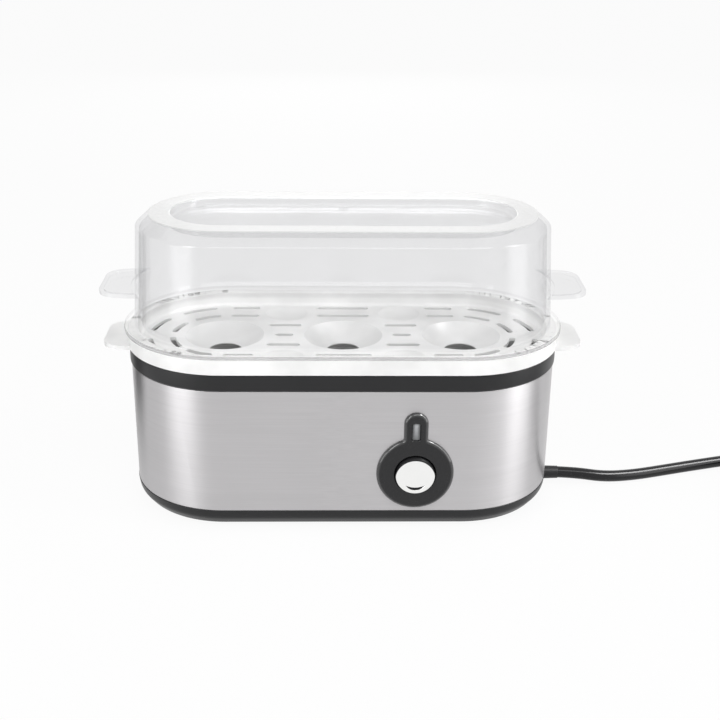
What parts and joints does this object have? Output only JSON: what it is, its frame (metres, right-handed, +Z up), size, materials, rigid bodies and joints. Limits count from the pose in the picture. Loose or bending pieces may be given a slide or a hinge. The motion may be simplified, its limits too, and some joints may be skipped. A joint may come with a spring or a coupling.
{
  "type": "egg cooker",
  "caption": "Long round-ended electric egg steamer: clear lift-off lid, slotted white egg tray, steel-sleeved heated base with a front push button, and a coiled mains cord with a two-pin plug.",
  "frame": {"origin": "on the table under the feet, below the middle of the body, with the cord left out", "axes": "+X to the right along the body, towards the cord's outlet; -Y to the front, with the button; +Z up"},
  "size_m": [0.4134, 0.1565, 0.1439],
  "materials": {
    "clear_plastic": "clear, smooth",
    "white_plastic": "fine satin",
    "black_plastic": "satin, moulded",
    "brushed_steel": "brushed along its length",
    "bowl_steel": "satin sheet",
    "spreader_aluminium": "cast",
    "element_steel": "drawn tube",
    "contact_brass": "plain",
    "brown_plastic": "moulded",
    "screw_steel": "zinc plated",
    "sleeve_white": "woven sleeve",
    "silicone": "silicone",
    "foot_rubber": "matt",
    "lens_clear": "clear, smooth",
    "lamp_glass": "clear",
    "button_silver": "satin plated",
    "block_white": "moulded",
    "lead_jacket": "insulated wire",
    "cord_black": "smooth sheath",
    "tie_black": "band",
    "pin_nickel": "nickel plated"
  },
  "bodies": {
    "base": {"upper_ring": "black_plastic", "bowl_seal": "silicone", "water_bowl": "bowl_steel", "heat_spreader": "spreader_aluminium", "heating_element": "element_steel", "element_pins": "contact_brass", "thermostat": "brown_plastic", "thermostat_screws": "screw_steel", "thermal_fuse": "sleeve_white", "bowl_strap": "screw_steel", "strap_nut": "screw_steel", "steel_sleeve": "brushed_steel", "lower_housing": "black_plastic", "housing_screws": "screw_steel", "rubber_feet": "foot_rubber", "control_bezel": "black_plastic", "lamp_lens": "lens_clear", "indicator_lamp": "lamp_glass", "button_spring": "screw_steel", "switch_bracket": "screw_steel", "bracket_screws": "screw_steel", "switch_body": "black_plastic", "terminal_block": "block_white", "internal_leads": "lead_jacket", "inner_cord": "cord_black", "cord_clamp": "black_plastic", "clamp_screws": "screw_steel", "cord_grommet": "cord_black", "power_cord": "cord_black", "cord_coil": "cord_black", "cord_tail": "cord_black", "cord_tie": "tie_black", "plug_body": "cord_black", "plug_pins": "pin_nickel"},
    "tray": {"egg_tray": "white_plastic"},
    "lid": {"lid_shell": "clear_plastic"},
    "button": {"push_button": "button_silver"}
  },
  "joints": [
    {"name": "tray_lift", "type": "slide", "parent": "base", "child": "tray", "axis": [0, 0, 1], "range_m": [0, 0.06]},
    {"name": "lid_lift", "type": "slide", "parent": "tray", "child": "lid", "axis": [0, 0, 1], "range_m": [0, 0.12]},
    {"name": "button_press", "type": "slide", "parent": "base", "child": "button", "axis": [0, 1, 0], "range_m": [0, 0.002], "stiffness_N_per_m": 300, "springref_m": -0.004, "deforming": ["button_spring"]}
  ]
}
